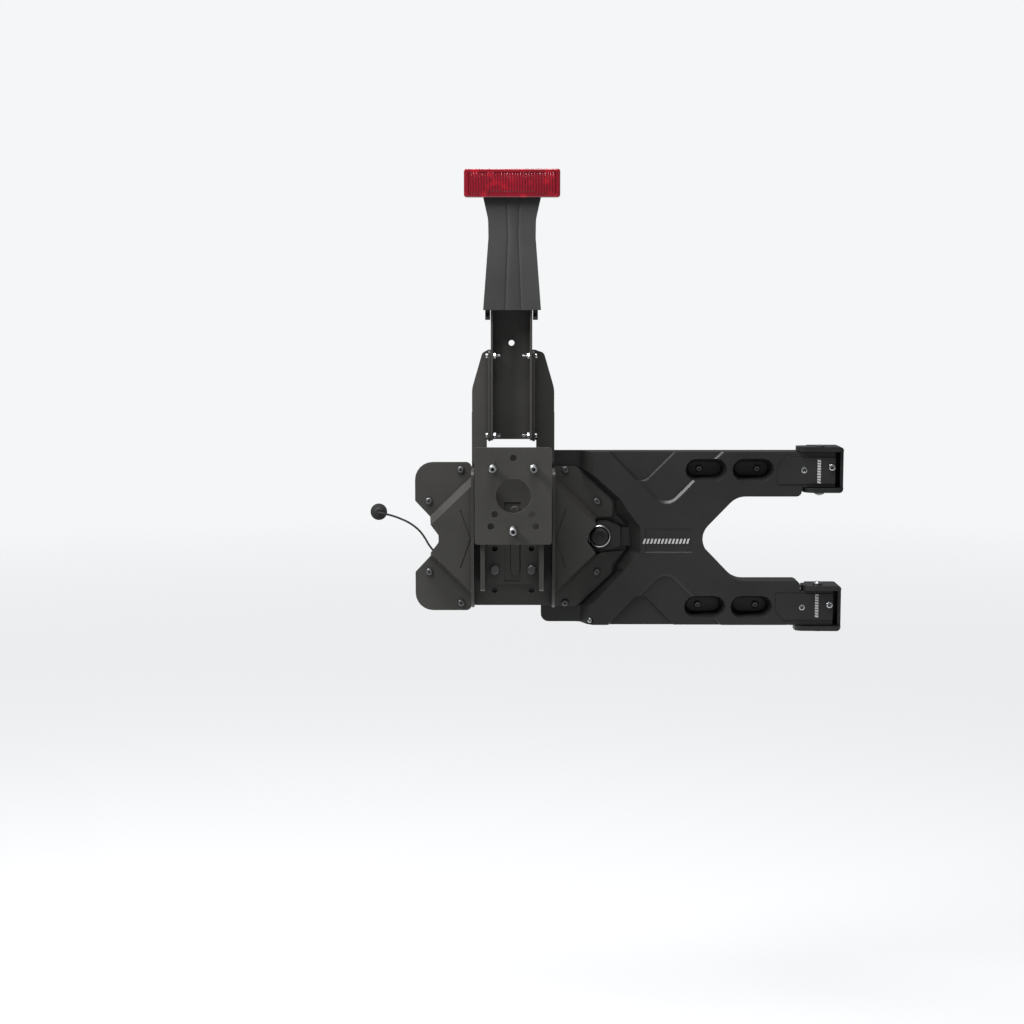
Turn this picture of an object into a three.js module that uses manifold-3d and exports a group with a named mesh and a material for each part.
// A swing-out spare tire carrier for a vehicle's tailgate, in millimetres.
// +X points right as seen from behind the vehicle, +Y into the vehicle, +Z up.
// The origin is on the back pad of the upper hinge bracket, straight behind its pin.
import * as THREE from "three";
import { mergeVertices } from "three/addons/utils/BufferGeometryUtils.js";
import Module from "manifold-3d";

const wasm = await Module();
wasm.setup();

// ---- Driving dimensions ----
const GAP = 0.3; // left between pieces that touch
const CORNER_STEPS = 3; // half the number of flats on a rounded corner

// Hinges. The lower one is the upper one mirrored in the middle plane.
const HINGE_SPACING = 263;
const MIDDLE_Z = -HINGE_SPACING / 2;
const PIN_Y = -40;
const PIN_RADIUS = 6;
const BUSH_WALL = 2;
const PIN_CLEARANCE = 0.3;
const BARREL = { bottom: -32.5, top: 34.5 }; // the knuckle between the bracket's two ears
const EAR_THICKNESS = 9;
const EAR_CLEARANCE = 1;
const PAD_THICKNESS = 6;

// The wheel, and the X bracket that carries it
const WHEEL_X = -582.5;
const WHEEL_Z = -37;
const STUD_CIRCLE = 127;
const SECOND_CIRCLE = 139.7;

// Depths toward the viewer, from the tailgate's surface at y = 0
const FLANGE_FRONT = -8;
const LOBE_FRONT = -12;
const BODY_FRONT = -50; // the casting's raised body, and the bridge of the X bracket
const CHANNEL_FRONT = -135;
const PLATE_BACK = -158;
const PLATE_FRONT = -166;
const SHEET = 4; // pressed steel
const CHANNEL_WALL = 5;

// The light mast stands a little left of the wheel's centre.
const MAST_X = WHEEL_X - 3;
const MAST_WIDTH = 77;
const MAST_BACK = -62;
const MAST_FRONT = -105;
const MAST_BOTTOM = 60;
const MAST_TRAVEL = 45;
const LIGHT_BOTTOM = 507;
const LIGHT_HEIGHT = 52;
const LIGHT_WIDTH = 176;

// ---- Materials ----
const coat = (color, roughness, metalness) =>
  new THREE.MeshStandardMaterial({ color, roughness, metalness });
const STEEL_COAT = coat(0x3d3c3a, 0.55, 0.3);
const CAST_COAT = coat(0x2f2f2e, 0.6, 0.3);
const ZINC = coat(0xc9ccd0, 0.3, 0.9);
const BRASS = coat(0xb08d4a, 0.4, 0.9);
const RUBBER = coat(0x141414, 0.9, 0);
const BLACK_PLASTIC = coat(0x161616, 0.6, 0);
const GREY_PLASTIC = coat(0x3a3a3a, 0.7, 0);
const RED_LENS = coat(0xb01020, 0.15, 0);
const CIRCUIT_BOARD = coat(0x1d5c2e, 0.6, 0);

// ---- Solid helpers ----
function solid(geometry) {
  const bare = geometry.index ? geometry.toNonIndexed() : geometry.clone();
  bare.deleteAttribute("normal");
  bare.deleteAttribute("uv");
  const merged = mergeVertices(bare, 1e-4);
  return new wasm.Manifold(
    new wasm.Mesh({
      numProp: 3,
      vertProperties: merged.attributes.position.array,
      triVerts: new Uint32Array(merged.index.array),
    }),
  );
}

function addPiece(parent, name, body, material) {
  const { vertProperties, triVerts } = body.getMesh();
  const geometry = new THREE.BufferGeometry();
  geometry.setAttribute("position", new THREE.BufferAttribute(vertProperties, 3));
  geometry.setIndex(new THREE.BufferAttribute(triVerts, 1));
  geometry.computeVertexNormals();
  const mesh = new THREE.Mesh(geometry, material);
  mesh.name = name;
  parent.add(mesh);
}

// A closed outline through [x, y, cornerRadius] points, each rounded corner a true arc.
function outline(points) {
  const shape = new THREE.Shape();
  const count = points.length;
  const at = (i) => new THREE.Vector2(points[(i + count) % count][0], points[(i + count) % count][1]);
  points.forEach(([, , radius = 0], i) => {
    const corner = at(i);
    if (radius === 0) {
      if (i === 0) shape.moveTo(corner.x, corner.y);
      else shape.lineTo(corner.x, corner.y);
      return;
    }
    const before = at(i - 1).sub(corner).normalize();
    const after = at(i + 1).sub(corner).normalize();
    const halfAngle = Math.acos(before.dot(after)) / 2;
    const toTangent = radius / Math.tan(halfAngle);
    const start = corner.clone().addScaledVector(before, toTangent);
    const end = corner.clone().addScaledVector(after, toTangent);
    const centre = before.clone().add(after).setLength(radius / Math.sin(halfAngle)).add(corner);
    const startAngle = Math.atan2(start.y - centre.y, start.x - centre.x);
    const endAngle = Math.atan2(end.y - centre.y, end.x - centre.x);
    if (i > 0 && shape.curves.length === 0) shape.lineTo(start.x, start.y);
    shape.absarc(centre.x, centre.y, radius, startAngle, endAngle, before.cross(after) > 0);
  });
  shape.closePath();
  return shape;
}

const rectangle = (left, right, bottom, top, radius = 0) =>
  outline([
    [left, bottom, radius],
    [right, bottom, radius],
    [right, top, radius],
    [left, top, radius],
  ]);

function slotOutline(x, z, length, width, upright = false) {
  const radius = width / 2;
  const straight = length / 2 - radius;
  const shape = new THREE.Shape();
  if (upright) {
    shape.absarc(x, z + straight, radius, 0, Math.PI, false);
    shape.absarc(x, z - straight, radius, Math.PI, 2 * Math.PI, false);
  } else {
    shape.absarc(x + straight, z, radius, -Math.PI / 2, Math.PI / 2, false);
    shape.absarc(x - straight, z, radius, Math.PI / 2, (3 * Math.PI) / 2, false);
  }
  shape.closePath();
  return shape;
}

function block(xMin, xMax, yMin, yMax, zMin, zMax) {
  const geometry = new THREE.BoxGeometry(xMax - xMin, yMax - yMin, zMax - zMin);
  geometry.translate((xMin + xMax) / 2, (yMin + yMax) / 2, (zMin + zMax) / 2);
  return solid(geometry);
}

// An upright X-Z outline given thickness, from its back to its front (front is the lower y).
function facingPlate(shape, back, front) {
  const geometry = new THREE.ExtrudeGeometry(shape, {
    depth: back - front,
    bevelEnabled: false,
    curveSegments: CORNER_STEPS,
  });
  geometry.rotateX(Math.PI / 2);
  geometry.translate(0, back, 0);
  return solid(geometry);
}

// The same with sloping walls: the outline is the front's, and the back is wider all round by spread.
function taperedPlate(shape, back, front, spread) {
  const height = back - front;
  const geometry = new THREE.ExtrudeGeometry(shape, {
    depth: 1,
    bevelThickness: height,
    bevelSize: spread,
    bevelSegments: 1,
    curveSegments: CORNER_STEPS,
  });
  geometry.rotateX(Math.PI / 2);
  geometry.translate(0, back + 1, 0);
  const whole = solid(geometry);
  const { min, max } = whole.boundingBox();
  return whole.subtract(block(min[0] - 1, max[0] + 1, back, max[1] + 1, min[2] - 1, max[2] + 1));
}

// A pocket cutter that opens toward the viewer: the outline is the floor's, the mouth is wider by spread.
function pocket(shape, floor, mouth, spread) {
  const geometry = new THREE.ExtrudeGeometry(shape, {
    depth: 1,
    bevelThickness: floor - mouth,
    bevelSize: spread,
    bevelSegments: 1,
    curveSegments: CORNER_STEPS,
  });
  geometry.rotateX(Math.PI / 2);
  geometry.translate(0, mouth, 0);
  return solid(geometry);
}

// The solid between two X-Z outlines with the same corners, one at y = back and one at y = front.
function loft(backShape, frontShape, back, front) {
  const rim = (shape, y) => {
    const points = shape.extractPoints(CORNER_STEPS).shape;
    if (points[0].distanceTo(points.at(-1)) < 1e-6) points.pop();
    if (THREE.ShapeUtils.isClockWise(points)) points.reverse();
    return points.map((point) => [point.x, y, point.y]);
  };
  const [backRim, frontRim] = [rim(backShape, back), rim(frontShape, front)];
  const count = backRim.length;
  const flat = (ring) => ring.map(([x, , z]) => new THREE.Vector2(x, z));
  const capOf = (ring) => THREE.ShapeUtils.triangulateShape(flat(ring), []);
  const faces = capOf(backRim).map((triangle) => triangle.toReversed());
  faces.push(...capOf(frontRim).map((triangle) => triangle.map((i) => i + count)));
  for (let i = 0; i < count; i++) {
    const next = (i + 1) % count;
    faces.push([i, next, next + count], [i, next + count, i + count]);
  }
  const geometry = new THREE.BufferGeometry();
  const corners = new THREE.Float32BufferAttribute([...backRim, ...frontRim].flat(), 3);
  geometry.setAttribute("position", corners);
  geometry.setIndex(faces.flat());
  return solid(geometry);
}

// A horizontal X-Y outline given height.
function flatPlate(shape, bottom, top) {
  const geometry = new THREE.ExtrudeGeometry(shape, {
    depth: top - bottom,
    bevelEnabled: false,
    curveSegments: CORNER_STEPS,
  });
  geometry.translate(0, 0, bottom);
  return solid(geometry);
}

// A side-on Y-Z outline given width.
function sidePlate(shape, left, right) {
  const geometry = new THREE.ExtrudeGeometry(shape, {
    depth: right - left,
    bevelEnabled: false,
    curveSegments: CORNER_STEPS,
  });
  const yzx = new THREE.Matrix4().makeBasis(
    new THREE.Vector3(0, 1, 0),
    new THREE.Vector3(0, 0, 1),
    new THREE.Vector3(1, 0, 0),
  );
  geometry.applyMatrix4(yzx);
  geometry.translate(left, 0, 0);
  return solid(geometry);
}

// A round bar along Y.
function bar(x, z, radius, back, front, sides = 16) {
  const geometry = new THREE.CylinderGeometry(radius, radius, back - front, sides);
  geometry.translate(x, (back + front) / 2, z);
  return solid(geometry);
}

// A round bar along Z.
function post(x, y, radius, bottom, top, sides = 20) {
  const geometry = new THREE.CylinderGeometry(radius, radius, top - bottom, sides);
  geometry.rotateX(Math.PI / 2);
  geometry.translate(x, y, (bottom + top) / 2);
  return solid(geometry);
}

// A round bar along X, from one x to another in either order.
function crossBar(from, to, y, z, radius, sides = 12) {
  const geometry = new THREE.CylinderGeometry(radius, radius, Math.abs(to - from), sides);
  geometry.rotateZ(Math.PI / 2);
  geometry.translate((from + to) / 2, y, z);
  return solid(geometry);
}

// A turned piece: [radius, distance] points from one end of the axis to the other, the axis along Y.
function turned(profile, sides = 14) {
  const points = profile.map(([radius, along]) => new THREE.Vector2(radius, along));
  return new THREE.LatheGeometry(points, sides);
}

// A screw whose head rests on the plane `seat` and faces the viewer, its shank reaching back to `tip`.
function screw(x, z, seat, tip, shankRadius, head) {
  const geometry = turned([
    [0, seat - head.height],
    [head.radius * 0.55, seat - head.height],
    [head.radius, seat - head.height * head.shoulder],
    [head.radius, seat],
    [shankRadius, seat],
    [shankRadius, tip],
    [0, tip],
  ]);
  geometry.translate(x, 0, z);
  return solid(geometry);
}

const BUTTON_HEAD = { radius: 7, height: 4.5, shoulder: 0.35 };
const SOCKET_HEAD = { radius: 6.1, height: 6, shoulder: 0.9 };
const HEX_HEAD = { radius: 9, height: 6, shoulder: 0.85 };
const M8_RADIUS = 4;
const M8_HOLE = 4.4;
const M6_RADIUS = 3;
const M6_HOLE = 3.4;
const BOLT_TIP = -0.5; // bolts that go on into the tailgate are cut at its surface

const root = new THREE.Group();
const mirrorBelow = new THREE.Group(); // whatever it holds appears mirrored in the middle plane
mirrorBelow.scale.z = -1;
mirrorBelow.position.z = 2 * MIDDLE_Z;
root.add(mirrorBelow);
const BOTH_HINGES = [
  ["upper", root],
  ["lower", mirrorBelow],
];

// ---- Hinge brackets: a back pad, a right wall and two ears round the pin ----
const BRACKET_RIGHT = 44;
const OUTER_EAR_BOTTOM = BARREL.top + EAR_CLEARANCE;
const OUTER_EAR_TOP = OUTER_EAR_BOTTOM + EAR_THICKNESS;
const INNER_EAR_TOP = BARREL.bottom - EAR_CLEARANCE;
const INNER_EAR_BOTTOM = INNER_EAR_TOP - EAR_THICKNESS;
const EAR_FRONT = PIN_Y - 22;

function hingeBracket() {
  const padLeft = -20;
  const outerEar = outline([
    [padLeft, 0],
    [BRACKET_RIGHT, 0],
    [BRACKET_RIGHT, EAR_FRONT, 12],
    [-BRACKET_RIGHT, EAR_FRONT + 4, 14],
    [-BRACKET_RIGHT, -18, 8],
    [padLeft, -14],
  ]);
  const innerEar = outline([
    [padLeft, 0],
    [BRACKET_RIGHT, 0],
    [BRACKET_RIGHT, EAR_FRONT, 12],
    [-31, EAR_FRONT, 22],
    [-31, -20, 8],
    [padLeft, -14],
  ]);
  let body = block(padLeft, BRACKET_RIGHT, -PAD_THICKNESS, 0, INNER_EAR_BOTTOM, OUTER_EAR_TOP);
  body = body.add(block(BRACKET_RIGHT - 6, BRACKET_RIGHT, -48, 0, INNER_EAR_BOTTOM, OUTER_EAR_TOP));
  body = body.add(flatPlate(outerEar, OUTER_EAR_BOTTOM, OUTER_EAR_TOP));
  body = body.add(flatPlate(innerEar, INNER_EAR_BOTTOM, INNER_EAR_TOP));
  const silhouette = outline([
    [-60, INNER_EAR_BOTTOM],
    [BRACKET_RIGHT, INNER_EAR_BOTTOM, 9],
    [BRACKET_RIGHT, OUTER_EAR_TOP, 9],
    [-60, OUTER_EAR_TOP],
  ]);
  body = body.intersect(facingPlate(silhouette, 0, EAR_FRONT - 1));
  const pinHole = PIN_RADIUS + PIN_CLEARANCE;
  body = body.subtract(post(0, PIN_Y, pinHole, INNER_EAR_BOTTOM - 1, OUTER_EAR_TOP + 1));
  for (const z of [-17, 17]) {
    const countersunkHole = turned([
      [0, 1],
      [4.4, 1],
      [4.4, -PAD_THICKNESS / 2],
      [8, -PAD_THICKNESS - 0.5],
      [0, -PAD_THICKNESS - 0.5],
    ].reverse());
    countersunkHole.translate(12, 0, z);
    body = body.subtract(solid(countersunkHole));
  }
  return body;
}

function hingePin() {
  const head = post(0, PIN_Y, 8.5, OUTER_EAR_TOP + GAP, OUTER_EAR_TOP + 3);
  return head.add(post(0, PIN_Y, PIN_RADIUS, INNER_EAR_BOTTOM - 6, OUTER_EAR_TOP + 2));
}

function pinRing() {
  const bottom = INNER_EAR_BOTTOM - 4;
  const top = INNER_EAR_BOTTOM - GAP;
  return post(0, PIN_Y, 9, bottom, top).subtract(post(0, PIN_Y, PIN_RADIUS + GAP, bottom - 1, top + 1));
}

// ---- Knuckles: a plate bolted over the arm's end, with a barrel between the ears ----
const KNUCKLE_LEFT = -81;
const KNUCKLE_RIGHT = 28;
const KNUCKLE_FRONT = -52;
const KNUCKLE_BACK = -28;
const KNUCKLE_SEAT = -42;
const ARM_END = -34.5;
const BAND_BOTTOM = 24; // above it the knuckle's face is set back
const CHEEK_LEFT = -33.5; // the barrel's cheeks, above and below the arm's tenon, reach this far
const LOCK_SCREW_X = -30.8;
const CLAMP_SCREW_X = 21;
const CLAMP_SCREW_RISE = 5.5;
const LOCK_SEAT_RADIUS = 6.6;
const BUSH_RADIUS = PIN_RADIUS + PIN_CLEARANCE + BUSH_WALL;

// The knuckle's face, larger all round by `grow`; `toZ` turns a height above the hinge line into z.
const knuckleOutline = (grow, toZ = (height) => height) =>
  outline([
    [KNUCKLE_LEFT - grow, toZ(-28 - grow)],
    [KNUCKLE_RIGHT, toZ(-28 - grow)],
    [KNUCKLE_RIGHT, toZ(BARREL.top + grow)],
    [-56 - grow, toZ(BARREL.top + grow)],
    [KNUCKLE_LEFT - grow, toZ(6 + grow)],
  ]);

function knuckle(clampHeight) {
  let body = facingPlate(knuckleOutline(0), KNUCKLE_SEAT - GAP, KNUCKLE_FRONT);
  body = body.add(block(-14, KNUCKLE_RIGHT, KNUCKLE_FRONT, KNUCKLE_BACK, BARREL.bottom, BARREL.top));
  body = body.add(block(CHEEK_LEFT, -13, KNUCKLE_FRONT, KNUCKLE_BACK, BARREL.bottom, -24.5));
  body = body.add(block(CHEEK_LEFT, -13, KNUCKLE_FRONT, KNUCKLE_BACK, 24.5, BARREL.top));
  body = body.subtract(block(-90, 40, KNUCKLE_FRONT - 1, KNUCKLE_FRONT + 2, BAND_BOTTOM, 40));
  body = body.subtract(block(-90, 40, KNUCKLE_FRONT - 1, KNUCKLE_FRONT + 2, -40, -26));
  body = body.subtract(post(0, PIN_Y, BUSH_RADIUS + GAP, -60, 60));
  body = body.subtract(bar(LOCK_SCREW_X, 0, LOCK_SEAT_RADIUS, KNUCKLE_FRONT + 3, KNUCKLE_FRONT - 1));
  body = body.subtract(bar(LOCK_SCREW_X, 0, M8_HOLE, 0, KNUCKLE_FRONT - 1));
  return body.subtract(bar(CLAMP_SCREW_X, clampHeight, M8_HOLE, KNUCKLE_FRONT + 15, KNUCKLE_FRONT - 1));
}

function bush(bottom, top) {
  const inner = post(0, PIN_Y, PIN_RADIUS + PIN_CLEARANCE, bottom - 1, top + 1);
  return post(0, PIN_Y, BUSH_RADIUS, bottom, top).subtract(inner);
}

for (const [place, group] of BOTH_HINGES) {
  addPiece(group, `${place}_hinge_bracket`, hingeBracket(), STEEL_COAT);
  addPiece(group, `${place}_hinge_pin`, hingePin(), ZINC);
  addPiece(group, `${place}_pin_ring`, pinRing(), ZINC);
  const clampHeight = place === "upper" ? CLAMP_SCREW_RISE : -CLAMP_SCREW_RISE; // above the line on both
  addPiece(group, `${place}_knuckle`, knuckle(clampHeight), CAST_COAT);
  addPiece(group, `${place}_knuckle_outer_bush`, bush(GAP, BARREL.top), BRASS);
  addPiece(group, `${place}_knuckle_inner_bush`, bush(BARREL.bottom, -GAP), BRASS);
  const lockSeat = KNUCKLE_FRONT + 3 - GAP;
  const lockHead = { radius: LOCK_SEAT_RADIUS - 0.4, height: 2.5, shoulder: 0.6 };
  addPiece(group, `${place}_lock_screw`, screw(LOCK_SCREW_X, 0, lockSeat, -28, M8_RADIUS, lockHead), ZINC);
  const clampSeat = KNUCKLE_FRONT - GAP;
  const clampTip = KNUCKLE_FRONT + 14;
  const clampScrew = screw(CLAMP_SCREW_X, clampHeight, clampSeat, clampTip, M8_RADIUS, SOCKET_HEAD);
  addPiece(group, `${place}_clamp_screw`, clampScrew, ZINC);
}

// ---- Hinge casting: a K-shaped body with two arms, pocketed front and back ----
const CASTING = { left: -529, halfHeight: 166, openingHalf: 81 };
const RIDGE_LEFT = -461; // where the low flange ends and the raised body begins to rise
const POCKET_X = [-216.5, -127];
const POCKET_BOLT_X = [-227, -116];
const POCKET_FLOOR = -14;
const BACK_WALL = -36; // how deep the casting is hollowed from behind
const BUMPER = { x: -417, z: MIDDLE_Z + 2 };
const TONGUE_FRONT = -24;
const CASTING_SCREW = { x: -435.5, z: MIDDLE_Z - 158, seat: -44 };

// Outline points given as [x, height above the middle plane, radius].
const aboutMiddle = (points) => outline(points.map(([x, z, radius]) => [x, MIDDLE_Z + z, radius]));
const mirroredDown = (points) => points.map(([x, z, radius]) => [x, -z, radius]);

function castingBody() {
  const { left, halfHeight, openingHalf } = CASTING;
  const upperHalf = [
    [left, halfHeight, 15],
    [ARM_END, halfHeight, 3],
    [ARM_END, openingHalf, 10],
    [-158, openingHalf, 40],
  ];
  const lowerHalf = mirroredDown(upperHalf).reverse();
  return facingPlate(aboutMiddle([...upperHalf, [-236, 0, 36], ...lowerHalf]), 0, BODY_FRONT);
}

// The low seat for the right lobes of the X bracket: steep walls beside the upper lobe, a broad slope
// round the bumper and below the lower lobe, and an S-shaped rise along the left.
function lobeSeat() {
  const floor = aboutMiddle([
    [-620, 150],
    [-463.5, 141],
    [-388, 71, 6],
    [-385, 42, 4],
    [-367, 25, 4],
    [-364, -24, 4],
    [-386, -56, 4],
    [-389, -72, 4],
    [-463.5, -141],
    [-620, -150],
  ]);
  const mouth = aboutMiddle([
    [-620, 160],
    [-458, 147],
    [-379, 77, 8],
    [-362, 50, 10],
    [-340, 22, 14],
    [-340, -29, 14],
    [-370, -61, 4],
    [-385, -76.5, 4],
    [-445, -139.5],
    [-620, -160],
  ]);
  const edgeSlope = outline([
    [-620, FLANGE_FRONT + GAP],
    [RIDGE_LEFT, FLANGE_FRONT + GAP],
    [RIDGE_LEFT + 8, -12],
    [RIDGE_LEFT + 20, -39],
    [RIDGE_LEFT + 31, BODY_FRONT],
    [RIDGE_LEFT + 31, BODY_FRONT - 40],
    [-620, BODY_FRONT - 40],
  ]);
  return loft(floor, mouth, FLANGE_FRONT + GAP, BODY_FRONT).add(flatPlate(edgeSlope, -400, 100));
}

// The tongue that carries the tire bumper: a raised pad, and a lower step on its right.
function bumperTongue() {
  const left = BUMPER.x - 19;
  const pad = aboutMiddle([
    [left, -21, 20],
    [-400, -24, 10],
    [-377, -18, 5],
    [-377, 20, 5],
    [-400, 30.5, 10],
    [left, 25, 20],
  ]);
  const step = aboutMiddle([
    [-400, -17],
    [-346, -17, 6],
    [-346, 18, 6],
    [-400, 18],
  ]);
  return taperedPlate(pad, -1, TONGUE_FRONT, 5).add(taperedPlate(step, -1, TONGUE_FRONT + 6, 4));
}

// Two nested V-shaped recesses in the top edge of the casting, the second one deeper.
function vRecesses(side) {
  const vee = (apexX, apexDrop, radius, floor) => {
    const top = CASTING.halfHeight + 30;
    const drop = top - apexDrop;
    const points = [
      [apexX, side * apexDrop, radius],
      [apexX - drop, side * top],
      [apexX + drop, side * top],
    ];
    return pocket(aboutMiddle(points), floor, BODY_FRONT, 5);
  };
  return vee(-291.5, 62, 25, BODY_FRONT + 4).add(vee(-337, 106, 15, BODY_FRONT + 8));
}

// The hollows in the casting's back, one side's in the upper half.
const BACK_POCKETS = [
  [[-420, 156], [-268, 156], [-268, 104], [-322, 50]],
  [[-262, 108], [-60, 108], [-60, 87], [-160, 87], [-246, 20], [-262, 20]],
];

function hingeCasting() {
  let body = castingBody().subtract(lobeSeat());
  for (const side of [1, -1]) {
    body = body.subtract(vRecesses(side));
    for (const corners of BACK_POCKETS) {
      const rounded = corners.map(([x, z]) => [x, side * z, 1]);
      body = body.subtract(facingPlate(aboutMiddle(rounded), 1, BACK_WALL));
    }
  }
  body = body.add(bumperTongue());
  const middleHollow = aboutMiddle([[-328, -30], [-268, -30], [-268, 30], [-328, 30]]);
  body = body.subtract(facingPlate(middleHollow, 1, BACK_WALL));
  const badge = aboutMiddle([[-330, -25], [-243, -25], [-243, 19], [-330, 19]]);
  body = body.subtract(pocket(badge, BODY_FRONT + 1, BODY_FRONT, 1));
  for (const side of [1, -1]) {
    const hingeLine = MIDDLE_Z + (side * HINGE_SPACING) / 2;
    for (const x of POCKET_X) {
      body = body.subtract(pocket(slotOutline(x, hingeLine, 62, 26), POCKET_FLOOR, BODY_FRONT, 9));
    }
    for (const x of POCKET_BOLT_X) {
      body = body.subtract(bar(x, hingeLine, M8_HOLE, 1, BODY_FRONT, 12));
    }
    const knuckleSeat = knuckleOutline(GAP, (height) => hingeLine + side * height);
    body = body.subtract(facingPlate(knuckleSeat, KNUCKLE_SEAT, -70));
    body = body.add(block(ARM_END - 2, -16, KNUCKLE_SEAT, -18, hingeLine - 24, hingeLine + 24));
    body = body.subtract(bar(LOCK_SCREW_X, hingeLine, M8_HOLE, -26, KNUCKLE_SEAT - 1, 12));
  }
  for (const [x, z] of lobeBolts(1)) {
    body = body.subtract(bar(x, z, M8_HOLE, 1, -20, 12));
  }
  body = body.subtract(bar(BUMPER.x, BUMPER.z, M8_HOLE, 1, -30, 12));
  body = body.subtract(bar(CASTING_SCREW.x, CASTING_SCREW.z, 6.5, CASTING_SCREW.seat, BODY_FRONT - 1, 20));
  return body.subtract(bar(CASTING_SCREW.x, CASTING_SCREW.z, 2.4, -20, BODY_FRONT - 1, 12));
}

// ---- X bracket: a pressed sheet with four lobes and a raised bridge, open at both ends ----
const OUTER_BOLT = { x: 161.5, z: 68.5 };
const INNER_BOLT = { x: 100, z: 129 };
const BRIDGE_END = 157;
const BRIDGE_SPREAD = 12.5;

const signs = [
  [-1, 1],
  [-1, -1],
  [1, 1],
  [1, -1],
];
const lobeBolts = (side) =>
  signs
    .filter(([signX]) => signX === side)
    .flatMap(([signX, signZ]) =>
      [OUTER_BOLT, INNER_BOLT].map(({ x, z }) => [WHEEL_X + signX * x, MIDDLE_Z + signZ * z]),
    );

// Points given as [distance from the wheel's centre line, height above the middle plane, radius].
const aboutBracket = (points) => aboutMiddle(points.map(([x, z, radius]) => [WHEEL_X + x, z, radius]));

function bracketSilhouette() {
  const leftLobe = [
    [-80, 130, 8],
    [-80, 143.5, 10],
    [-188, 143.5, 34],
    [-188, 69, 4],
    [-159, 38],
    [-BRIDGE_END, 27],
    [-142, 7, 6],
  ];
  const rightLobe = [
    [142, 7, 6],
    [BRIDGE_END, 27],
    [BRIDGE_END, 37.5],
    [189, 38.5],
    [192, 63, 4],
    [188, 72, 4],
    [120, 136, 4],
    [80, 136],
    [80, 130],
  ];
  const lowerRightLobe = [
    [80, -130],
    [80, -136],
    [121, -136, 4],
    [179, -81, 4],
    [190, -70, 3],
    [190, -55, 3],
    [212, -27],
    [BRIDGE_END, -33],
    [BRIDGE_END, -27],
    [142, -7, 6],
  ];
  const around = [...mirroredDown(leftLobe), ...leftLobe.slice().reverse(), ...rightLobe.slice().reverse()];
  return aboutBracket([...around, ...lowerRightLobe.slice().reverse()]);
}

const bridgeOutline = (inset) =>
  aboutBracket([
    [-185 + inset * 1.4, 0],
    [-70 + inset * 0.4, 110 - inset, 8],
    [70 - inset * 0.4, 110 - inset, 8],
    [185 - inset * 1.4, 0],
    [70 - inset * 0.4, -110 + inset, 8],
    [-70 + inset * 0.4, -110 + inset, 8],
  ]);

// Pressed V-shaped creases on the bridge, one on each side of the mount.
function creases() {
  const width = 3.5;
  let cut = null;
  for (const sign of [-1, 1]) {
    const crease = aboutBracket([
      [sign * 102, 55],
      [sign * 82, 0],
      [sign * 102, -56],
      [sign * (102 - width), -56],
      [sign * (82 - width), 0],
      [sign * (102 - width), 55],
    ]);
    const groove = facingPlate(crease, BODY_FRONT + 1.5, BODY_FRONT - 1);
    cut = cut ? cut.add(groove) : groove;
  }
  return cut;
}

const HEIGHT_BOLT = { x: 35, z: -189 };
const OPEN_HOLE = { rise: 40, radius: 5.5 }; // round holes above and below each height bolt
const HUB_HOLE_RADIUS = 32.3;
const WHEEL_TRAVEL = 20;

// Upright slots for the height bolts, cut through whatever stands behind them.
function heightSlots(back, front) {
  const length = 2 * (WHEEL_TRAVEL + M8_HOLE + 1);
  const slots = [-1, 1].map((sign) => {
    const slot = slotOutline(WHEEL_X + sign * HEIGHT_BOLT.x, HEIGHT_BOLT.z, length, 2 * M8_HOLE + 1, true);
    return facingPlate(slot, back, front);
  });
  return slots[0].add(slots[1]);
}

function carrierBracket() {
  const silhouette = bracketSilhouette();
  let body = facingPlate(silhouette, FLANGE_FRONT, LOBE_FRONT);
  body = body.add(taperedPlate(bridgeOutline(0), FLANGE_FRONT, BODY_FRONT, BRIDGE_SPREAD));
  const hollow = taperedPlate(bridgeOutline(SHEET), FLANGE_FRONT + 1, BODY_FRONT + SHEET, BRIDGE_SPREAD);
  body = body.subtract(hollow);
  body = body.intersect(facingPlate(silhouette, 0, BODY_FRONT - 1));
  body = body.subtract(creases()).subtract(heightSlots(0, BODY_FRONT - 1));
  for (const [x, z] of [...lobeBolts(-1), ...lobeBolts(1)]) {
    body = body.subtract(bar(x, z, M8_HOLE, 0, -20, 12));
  }
  return body;
}

// The rubber pads under the left lobes.
function lobePad(signZ) {
  const points = [
    [-84, 138, 6],
    [-184, 138, 30],
    [-184, 72, 4],
    [-166, 53, 3],
    [-84, 122, 3],
  ];
  const pad = aboutBracket(signZ === 1 ? points : mirroredDown(points));
  let body = facingPlate(pad, 0, FLANGE_FRONT + GAP);
  for (const [x, z] of lobeBolts(-1)) {
    body = body.subtract(bar(x, z, M8_HOLE, 1, -10, 12));
  }
  return body;
}

addPiece(root, "hinge_casting", hingeCasting(), CAST_COAT);
addPiece(root, "carrier_bracket", carrierBracket(), STEEL_COAT);
addPiece(root, "upper_lobe_pad", lobePad(1), RUBBER);
addPiece(root, "lower_lobe_pad", lobePad(-1), RUBBER);
[...lobeBolts(-1), ...lobeBolts(1)].forEach(([x, z], i) => {
  const bolt = screw(x, z, LOBE_FRONT - GAP, BOLT_TIP, M8_RADIUS, BUTTON_HEAD);
  addPiece(root, `bracket_bolt_${i + 1}`, bolt, ZINC);
});
for (const [place, group] of BOTH_HINGES) {
  POCKET_BOLT_X.forEach((x, i) => {
    const bolt = screw(x, 0, POCKET_FLOOR - GAP, BOLT_TIP, M8_RADIUS, BUTTON_HEAD);
    addPiece(group, `${place}_arm_bolt_${i + 1}`, bolt, ZINC);
  });
}
const smallHead = { radius: 4.6, height: 2.5, shoulder: 0.5 };
const { x: screwX, z: screwZ, seat: screwSeat } = CASTING_SCREW;
const castingScrew = screw(screwX, screwZ, screwSeat - GAP, -22, 2, smallHead);
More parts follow.
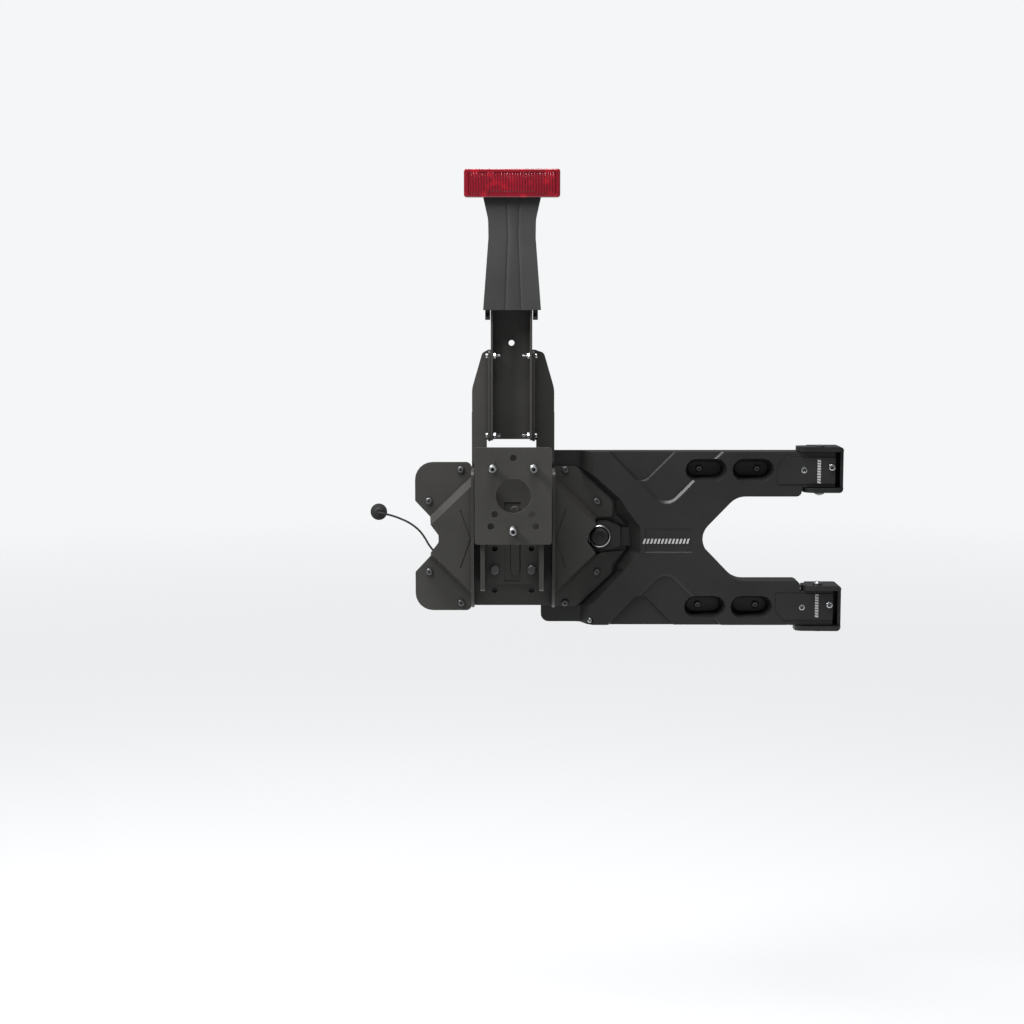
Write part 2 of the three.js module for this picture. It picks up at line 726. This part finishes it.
addPiece(root, "casting_screw", castingScrew, ZINC);

// ---- Tire bumper: a rubber disc on a threaded stud, in a bright seat ----
const SEAT_FRONT = TONGUE_FRONT - 5;
const BUMPER_FRONT = SEAT_FRONT - 12;

function bumperSeat() {
  const ring = turned([
    [17, TONGUE_FRONT - GAP],
    [17, SEAT_FRONT + 1],
    [20, SEAT_FRONT],
    [22, SEAT_FRONT + 2],
    [22, TONGUE_FRONT - GAP],
    [17, TONGUE_FRONT - GAP],
  ], 28);
  ring.translate(BUMPER.x, 0, BUMPER.z);
  return solid(ring);
}

function tireBumper() {
  const disc = turned([
    [0, BUMPER_FRONT + 1.5],
    [10, BUMPER_FRONT + 1.5],
    [11, BUMPER_FRONT],
    [15, BUMPER_FRONT],
    [16.6, BUMPER_FRONT + 2],
    [16.6, TONGUE_FRONT - 2 * GAP],
    [M8_RADIUS, TONGUE_FRONT - 2 * GAP],
    [M8_RADIUS, -3],
    [0, -3],
  ], 28);
  disc.translate(BUMPER.x, 0, BUMPER.z);
  return solid(disc);
}

addPiece(root, "bumper_seat", bumperSeat(), ZINC);
addPiece(root, "tire_bumper", tireBumper(), RUBBER);

// ---- Mount channel: the fixed outer channel on the bridge ----
const CHANNEL = { half: 78, bottom: -258, top: 40, flangeTop: 5, tabTop: 110 };
const WEB_BACK = BODY_FRONT - GAP;
const WEB_FRONT = WEB_BACK - CHANNEL_WALL;

function mountChannel() {
  const web = outline([
    [WHEEL_X - CHANNEL.half, CHANNEL.bottom, 8],
    [WHEEL_X + CHANNEL.half, CHANNEL.bottom, 8],
    [WHEEL_X + CHANNEL.half, CHANNEL.tabTop],
    [WHEEL_X + 46, CHANNEL.tabTop],
    [WHEEL_X + 46, CHANNEL.top],
    [WHEEL_X - 52, CHANNEL.top],
    [WHEEL_X - 52, CHANNEL.tabTop],
    [WHEEL_X - CHANNEL.half, CHANNEL.tabTop],
  ]);
  const flange = outline([
    [WEB_BACK, CHANNEL.bottom],
    [WEB_BACK, CHANNEL.flangeTop],
    [CHANNEL_FRONT, CHANNEL.flangeTop, 10],
    [CHANNEL_FRONT, CHANNEL.bottom + 6, 40],
    [WEB_FRONT - 10, CHANNEL.bottom],
  ]);
  let body = facingPlate(web, WEB_BACK, WEB_FRONT);
  body = body.add(sidePlate(flange, WHEEL_X - CHANNEL.half, WHEEL_X - CHANNEL.half + CHANNEL_WALL));
  body = body.add(sidePlate(flange, WHEEL_X + CHANNEL.half - CHANNEL_WALL, WHEEL_X + CHANNEL.half));
  for (const sign of [-1, 1]) {
    for (const z of [HEIGHT_BOLT.z + OPEN_HOLE.rise, HEIGHT_BOLT.z - OPEN_HOLE.rise]) {
      body = body.subtract(bar(WHEEL_X + sign * HEIGHT_BOLT.x, z, OPEN_HOLE.radius, -40, -60, 14));
    }
  }
  return body.subtract(heightSlots(-40, -60));
}

// ---- Wings: welded to the channel's tabs, with a forward flange each side of the mast ----
const WING_BACK = WEB_FRONT - GAP;
const WING_FRONT = WING_BACK - SHEET;
const WING_WALL = 4.5;
const WING_FLANGE_FRONT = -100;
const MAST_HALF = MAST_WIDTH / 2;
const SLIDE_GAP = 0.5;
const FLANGE_START = MAST_BOTTOM - 2; // below it the wings stand apart
const MAST_BOLT_Z = [68.6, 217];
const MAST_BOLT_Y = -86;

function wing(sign) {
  const flangeInner = MAST_X + sign * (MAST_HALF + SLIDE_GAP);
  const flangeOuter = flangeInner + sign * WING_WALL;
  const notchSide = flangeOuter + sign * 3;
  const plate = outline([
    [flangeInner, FLANGE_START],
    [notchSide, FLANGE_START],
    [notchSide, 8],
    [WHEEL_X + sign * 71, 8],
    [WHEEL_X + sign * 77.4, 20],
    [WHEEL_X + sign * 77.4, 155, 60],
    [WHEEL_X + sign * 58, 222, 10],
    [flangeOuter, 228],
    [flangeInner, 228],
  ]);
  let body = facingPlate(plate, WING_BACK, WING_FRONT);
  const left = Math.min(flangeInner, flangeOuter);
  const flange = outline([
    [WING_BACK, FLANGE_START],
    [WING_BACK, 228],
    [WING_FLANGE_FRONT, 228, 8],
    [WING_FLANGE_FRONT, FLANGE_START, 8],
  ]);
  body = body.add(sidePlate(flange, left, left + WING_WALL));
  for (const z of MAST_BOLT_Z) {
    body = body.subtract(crossBar(MAST_X + sign * 30, MAST_X + sign * 60, MAST_BOLT_Y, z, M6_HOLE));
  }
  return body;
}

// A clamp bolt from outside the wing to its nut inside the mast.
function mastBolt(sign, z) {
  const along = (distance) => MAST_X + sign * (MAST_HALF + distance);
  const flangeOutside = SLIDE_GAP + WING_WALL + GAP;
  const head = crossBar(along(flangeOutside), along(flangeOutside + 4.5), MAST_BOLT_Y, z, 5.2);
  const shank = crossBar(along(flangeOutside + 2), along(-SHEET - 14), MAST_BOLT_Y, z, M6_RADIUS);
  const nut = crossBar(along(-SHEET - GAP), along(-SHEET - 5.5), MAST_BOLT_Y, z, 5.6, 6);
  return head.add(shank).add(nut);
}

addPiece(root, "mount_channel", mountChannel(), STEEL_COAT);
for (const [place, sign] of [
  ["left", -1],
  ["right", 1],
]) {
  addPiece(root, `${place}_wing`, wing(sign), STEEL_COAT);
  MAST_BOLT_Z.forEach((z, i) => {
    addPiece(root, `${place}_mast_bolt_${i + 1}`, mastBolt(sign, z), ZINC);
  });
}

// ---- Wheel mount: slides up and down inside the mount channel ----
const SLIDER = { centre: WHEEL_X - 2, half: 58.5, wall: 8, bottom: -217, top: -15 };
const SLIDER_BACK = WEB_FRONT - GAP;
const SLIDER_WEB_FRONT = SLIDER_BACK - SHEET;

function sliderChannel() {
  const { centre, half, wall, bottom, top } = SLIDER;
  let body = block(centre - half, centre + half, SLIDER_WEB_FRONT, SLIDER_BACK, bottom, top);
  const flange = outline([
    [SLIDER_BACK, bottom],
    [SLIDER_BACK, top],
    [PLATE_BACK + GAP, top],
    [PLATE_BACK + GAP, bottom, 14],
  ]);
  body = body.add(sidePlate(flange, centre - half, centre - half + wall));
  body = body.add(sidePlate(flange, centre + half - wall, centre + half));
  for (const sign of [-1, 1]) {
    const x = WHEEL_X + sign * HEIGHT_BOLT.x;
    body = body.subtract(bar(x, HEIGHT_BOLT.z, M8_HOLE, -50, -70, 14));
    body = body.subtract(bar(x, HEIGHT_BOLT.z + OPEN_HOLE.rise, OPEN_HOLE.radius, -50, -70, 14));
  }
  const recess = rectangle(WHEEL_X - 17, WHEEL_X + 15, -212, -60, 2);
  body = body.subtract(facingPlate(recess, SLIDER_WEB_FRONT + 2, -70));
  const bead = slotOutline(WHEEL_X + 4, -134, 130, 16, true);
  return body.add(taperedPlate(bead, SLIDER_WEB_FRONT + 2.5, SLIDER_WEB_FRONT - 0.5, 2));
}

function heightBolt(sign) {
  const x = WHEEL_X + sign * HEIGHT_BOLT.x;
  const bolt = screw(x, HEIGHT_BOLT.z, SLIDER_WEB_FRONT - GAP, -36, M8_RADIUS, HEX_HEAD);
  return bolt.add(bar(x, HEIGHT_BOLT.z, 7.5, -38, BODY_FRONT + SHEET + GAP, 6));
}

// Holes of a five-stud circle, counted from the one straight up (turn 0) or straight down (turn 0.5).
function onCircle(diameter, turns) {
  const angle = Math.PI / 2 + turns * 2 * Math.PI;
  return [WHEEL_X + (diameter / 2) * Math.cos(angle), WHEEL_Z + (diameter / 2) * Math.sin(angle)];
}

const STUDS = [0.5, 0.1, -0.1].map((turns) => onCircle(STUD_CIRCLE, turns));
const OPEN_HOLES = [
  ...[0, 0.4, -0.4].map((turns) => onCircle(SECOND_CIRCLE, turns)),
  [WHEEL_X - 34, WHEEL_Z - 34],
  [WHEEL_X + 34, WHEEL_Z - 34],
];
const STUD_RADIUS = 7;

function wheelPlate() {
  const face = rectangle(WHEEL_X - 71, WHEEL_X + 71, WHEEL_Z - 90, WHEEL_Z + 89, 5);
  let body = facingPlate(face, PLATE_BACK, PLATE_FRONT);
  body = body.subtract(bar(WHEEL_X, WHEEL_Z, HUB_HOLE_RADIUS, PLATE_BACK + 1, PLATE_FRONT - 1, 40));
  for (const [x, z] of STUDS) {
    body = body.subtract(bar(x, z, STUD_RADIUS + GAP, PLATE_BACK + 1, PLATE_FRONT - 1, 14));
  }
  for (const [x, z] of OPEN_HOLES) {
    body = body.subtract(bar(x, z, 6.4, PLATE_BACK + 1, PLATE_FRONT - 1, 14));
  }
  return body;
}

function wheelStud([x, z]) {
  const geometry = turned([
    [0, PLATE_FRONT - 26],
    [STUD_RADIUS - 1.5, PLATE_FRONT - 26],
    [STUD_RADIUS, PLATE_FRONT - 24],
    [STUD_RADIUS, PLATE_BACK + GAP],
    [10, PLATE_BACK + GAP],
    [10, PLATE_BACK + 6],
    [0, PLATE_BACK + 6],
  ]);
  geometry.translate(x, 0, z);
  return solid(geometry);
}

addPiece(root, "slider_channel", sliderChannel(), STEEL_COAT);
addPiece(root, "wheel_plate", wheelPlate(), STEEL_COAT);
STUDS.forEach((place, i) => addPiece(root, `wheel_stud_${i + 1}`, wheelStud(place), ZINC));
addPiece(root, "left_height_bolt", heightBolt(-1), ZINC);
addPiece(root, "right_height_bolt", heightBolt(1), ZINC);

// ---- Light mast: slides down between the wings ----
const LAMP_BACK = MAST_BACK - SHEET - GAP;
const LENS_BACK = -116;
const LENS_FRONT = -126;
const MAST_FLANGE_TOP = LIGHT_BOTTOM - 3;
const MAST_TOP = LIGHT_BOTTOM + 38;
const COVER_X = WHEEL_X - 2;
const COVER = {
  bottom: 302,
  top: LIGHT_BOTTOM + 2.5,
  waist: 43.5,
  end: 53.5,
  wall: 2.5,
  front: -112,
  back: -60,
};
const GROOVE_X = COVER_X + 2.3; // the line midway between the cover's two valleys

function mastChannel() {
  const flange = outline([
    [MAST_BACK, MAST_BOTTOM],
    [MAST_BACK, MAST_FLANGE_TOP],
    [MAST_FRONT, MAST_FLANGE_TOP, 6],
    [MAST_FRONT, MAST_BOTTOM, 6],
  ]);
  const left = MAST_X - MAST_HALF;
  const right = MAST_X + MAST_HALF;
  const webFront = MAST_BACK - SHEET;
  let body = block(left, right, webFront, MAST_BACK, MAST_BOTTOM, MAST_FLANGE_TOP);
  body = body.add(block(MAST_X - 25, MAST_X + 25, webFront, MAST_BACK, MAST_FLANGE_TOP - 1, MAST_TOP));
  body = body.add(sidePlate(flange, left, left + SHEET)).add(sidePlate(flange, right - SHEET, right));
  const reach = M6_HOLE + GAP;
  const [slotFront, slotBack] = [MAST_BOLT_Y - reach, MAST_BOLT_Y + reach];
  for (const z of MAST_BOLT_Z) {
    const slotTop = z + MAST_TRAVEL + reach;
    body = body.subtract(block(left - 1, right + 1, slotFront, slotBack, z - reach, slotTop));
  }
  return body.subtract(bar(MAST_X, 240.6, 5.5, MAST_BACK + 1, MAST_FRONT, 14));
}

// The cover's half width at each height: a waist below the lamp, wider at both ends.
function coverSide(inset) {
  const { bottom, top, waist, end } = COVER;
  return [
    [end - inset, bottom],
    [waist - inset, top - 75, 60],
    [waist + 0.5 - inset, top - 42, 60],
    [end - inset, top],
  ];
}

function coverBody(inset, back, front) {
  const right = coverSide(inset).map(([half, z, radius]) => [COVER_X + half, z, radius]);
  const left = coverSide(inset).map(([half, z, radius]) => [COVER_X - half, z, radius]);
  return facingPlate(outline([...right, ...left.reverse()]), back, front);
}

function mastCover() {
  const { bottom, top, wall, front, back } = COVER;
  let body = coverBody(0, back, front);
  const inner = coverBody(wall, back + 1, front + wall);
  body = body.subtract(inner);
  body = body.subtract(block(MAST_X - 60, MAST_X + 60, back - 48, back + 1, bottom - 1, bottom + 2));
  for (const sign of [-1, 1]) {
    const valley = outline([
      [GROOVE_X + sign * 11.8, top + 6],
      [GROOVE_X + sign * 9.3, top - 70],
      [GROOVE_X + sign * 14.8, bottom - 6],
      [GROOVE_X + sign * 15.2, bottom - 6],
      [GROOVE_X + sign * 9.7, top - 70],
      [GROOVE_X + sign * 12.2, top + 6],
    ]);
    body = body.subtract(pocket(valley, front + 1.9, front, 4.2));
  }
  return body;
}

function coverClip(sign) {
  const inner = MAST_X + sign * (MAST_HALF + 1);
  const outer = MAST_X + sign * (MAST_HALF + 10.2);
  const [left, right] = [Math.min(inner, outer), Math.max(inner, outer)];
  const tab = block(left, right, -108, -96, COVER.bottom - 18, COVER.bottom + 10);
  return tab.subtract(block(left + 2, right - 2, -109, -100, COVER.bottom - 12, COVER.bottom - 4));
}

const lampFace = (inset) =>
  rectangle(
    COVER_X - LIGHT_WIDTH / 2 + inset,
    COVER_X + LIGHT_WIDTH / 2 - inset,
    LIGHT_BOTTOM + inset,
    LIGHT_BOTTOM + LIGHT_HEIGHT - inset,
    5,
  );

function lampHousing() {
  const shell = facingPlate(lampFace(3), LAMP_BACK, LENS_BACK);
  const hollow = facingPlate(lampFace(6), LAMP_BACK - 6, LENS_BACK - 1);
  const wireHole = bar(MAST_X, LIGHT_BOTTOM + 20, 5, LAMP_BACK + 1, LAMP_BACK - 8, 12);
  return shell.subtract(hollow).subtract(wireHole);
}

function lampLens() {
  const cap = facingPlate(lampFace(0), LENS_BACK - GAP, LENS_FRONT);
  return cap.subtract(facingPlate(lampFace(3), LENS_BACK + 1, LENS_FRONT + 4));
}

addPiece(root, "mast_channel", mastChannel(), STEEL_COAT);
addPiece(root, "mast_cover", mastCover(), GREY_PLASTIC);
addPiece(root, "left_cover_clip", coverClip(-1), BLACK_PLASTIC);
addPiece(root, "right_cover_clip", coverClip(1), BLACK_PLASTIC);
addPiece(root, "lamp_housing", lampHousing(), BLACK_PLASTIC);
addPiece(root, "lamp_lens", lampLens(), RED_LENS);
const BOARD_BACK = LAMP_BACK - 6 - GAP;
const boardOutline = rectangle(COVER_X - 75, COVER_X + 75, LIGHT_BOTTOM + 12, LIGHT_BOTTOM + 40);
addPiece(root, "lamp_board", facingPlate(boardOutline, BOARD_BACK, BOARD_BACK - 2), CIRCUIT_BOARD);

// ---- Lamp cable: out of the bridge's left end and into a grommet in the tailgate ----
const GROMMET = { x: -841, z: -85, radius: 16 };
const GROMMET_FRONT = -7;
const CABLE_RADIUS = 2;
const CABLE_ROUTE = [
  [-700, -30, -176],
  [-712, -27, -172],
  [-724, -24, -166],
  [-735, -21, -158],
  [-744, -18, -147],
  [-752, -15, -134],
  [-761, -13, -122],
  [-772, -12, -112],
  [-785, -12, -103.5],
  [-799, -12.5, -97],
  [-812, -13.5, -92],
  [-824, -14.5, -88.5],
  [-833, -15.5, -86.2],
  [-838.5, -14, -85.2],
  [-841, -11, -85],
];

function cable() {
  const points = CABLE_ROUTE.map(([x, y, z]) => new THREE.Vector3(x, y, z));
  points.push(new THREE.Vector3(GROMMET.x, GROMMET_FRONT - 2 * GAP, GROMMET.z));
  const section = new THREE.Shape();
  section.absarc(0, 0, CABLE_RADIUS, 0, 2 * Math.PI, false);
  const geometry = new THREE.ExtrudeGeometry(section, {
    steps: 36,
    curveSegments: 4,
    extrudePath: new THREE.CatmullRomCurve3(points),
  });
  return solid(geometry);
}

function grommet() {
  const geometry = turned([
    [0, GROMMET_FRONT],
    [5, GROMMET_FRONT],
    [8, -5],
    [GROMMET.radius - 2, -4],
    [GROMMET.radius, -2],
    [GROMMET.radius, 0],
    [0, 0],
  ], 24);
  geometry.translate(GROMMET.x, 0, GROMMET.z);
  return solid(geometry);
}

addPiece(root, "lamp_cable", cable(), RUBBER);
addPiece(root, "cable_grommet", grommet(), RUBBER);

export default root;
